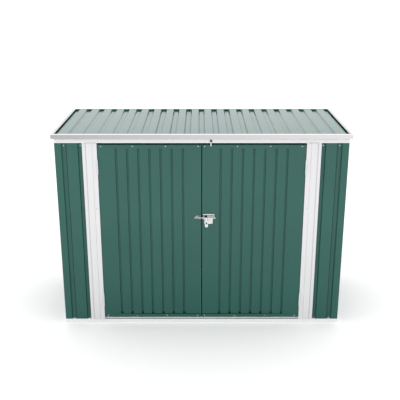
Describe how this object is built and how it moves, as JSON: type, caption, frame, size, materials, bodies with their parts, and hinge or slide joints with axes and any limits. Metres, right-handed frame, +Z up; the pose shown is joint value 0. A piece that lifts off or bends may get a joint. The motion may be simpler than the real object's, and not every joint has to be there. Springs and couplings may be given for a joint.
{
  "type": "metal bin store with double doors and a lift-up lid",
  "caption": "Low corrugated steel bin store: two outward-opening front doors with a sliding bolt, a ribbed lid hinged at the back, folded rails, jambs and trims.",
  "frame": {"origin": "middle of the footprint on the ground", "axes": "+Z up, front and doors face -Y, +X to the right seen from the front"},
  "size_m": [1.838, 0.83, 1.288],
  "materials": {
    "green_wall": "semi-gloss green coil-coated steel sheet",
    "green_roof": "semi-gloss green coil-coated steel sheet",
    "white_trim": "satin white coil-coated folded steel",
    "galvanised": "plain galvanised steel, faintly spangled",
    "zinc_latch": "bright zinc-plated pressed steel",
    "dark_rubber": "matt black rubber of the stop's cap and the sill's seal"
  },
  "bodies": {
    "store": {"base_rail_front": "white_trim", "base_rail_back": "white_trim", "base_rail_left": "white_trim", "base_rail_right": "white_trim", "corner_posts": "galvanised", "wall_mid_rails": "galvanised", "front_panel_left": "green_wall", "front_panel_right": "green_wall", "side_wall_left": "green_wall", "side_wall_right": "green_wall", "back_sheet_left": "green_wall", "back_sheet_right": "green_wall", "door_jamb_left": "white_trim", "door_jamb_right": "white_trim", "top_rail_front": "white_trim", "top_rail_back": "white_trim", "top_rail_left": "white_trim", "top_rail_right": "white_trim", "door_head_stop": "green_wall", "door_hinge_plates": "white_trim", "lid_hinge_plates": "galvanised"},
    "lid": {"lid_sheet": "green_roof", "lid_front_trim": "white_trim", "lid_back_trim": "white_trim", "lid_side_trim_left": "white_trim", "lid_side_trim_right": "white_trim", "lid_back_closure": "green_roof", "lid_braces": "galvanised", "lid_hinge_leaves": "galvanised"},
    "door_left": {"door_left_sheet": "green_wall", "door_left_top_rail": "green_wall", "door_left_bottom_rail": "green_wall", "door_left_hinge_stile": "white_trim", "door_left_meeting_stile": "white_trim", "door_left_hinge_leaves": "white_trim", "bolt_keeper": "zinc_latch"},
    "door_right": {"door_right_sheet": "green_wall", "door_right_top_rail": "green_wall", "door_right_bottom_rail": "green_wall", "door_right_hinge_stile": "white_trim", "door_right_meeting_stile": "white_trim", "door_right_hinge_leaves": "white_trim", "bolt_plate": "zinc_latch", "door_stop": "zinc_latch"},
    "bolt": {"bolt": "zinc_latch"}
  },
  "joints": [
    {"name": "door_left_hinge", "type": "hinge", "parent": "store", "child": "door_left", "pos_m": [-0.6445, -0.3972, 0.6], "axis": [0, 0, -1], "range_deg": [0, 110]},
    {"name": "door_right_hinge", "type": "hinge", "parent": "store", "child": "door_right", "pos_m": [0.6445, -0.3972, 0.6], "axis": [0, 0, 1], "range_deg": [0, 110]},
    {"name": "lid_hinge", "type": "hinge", "parent": "store", "child": "lid", "pos_m": [0, 0.4095, 1.2575], "axis": [-1, 0, 0], "range_deg": [0, 70]},
    {"name": "bolt_slide", "type": "slide", "parent": "door_right", "child": "bolt", "axis": [-1, 0, 0], "range_m": [0, 0.01]}
  ]
}
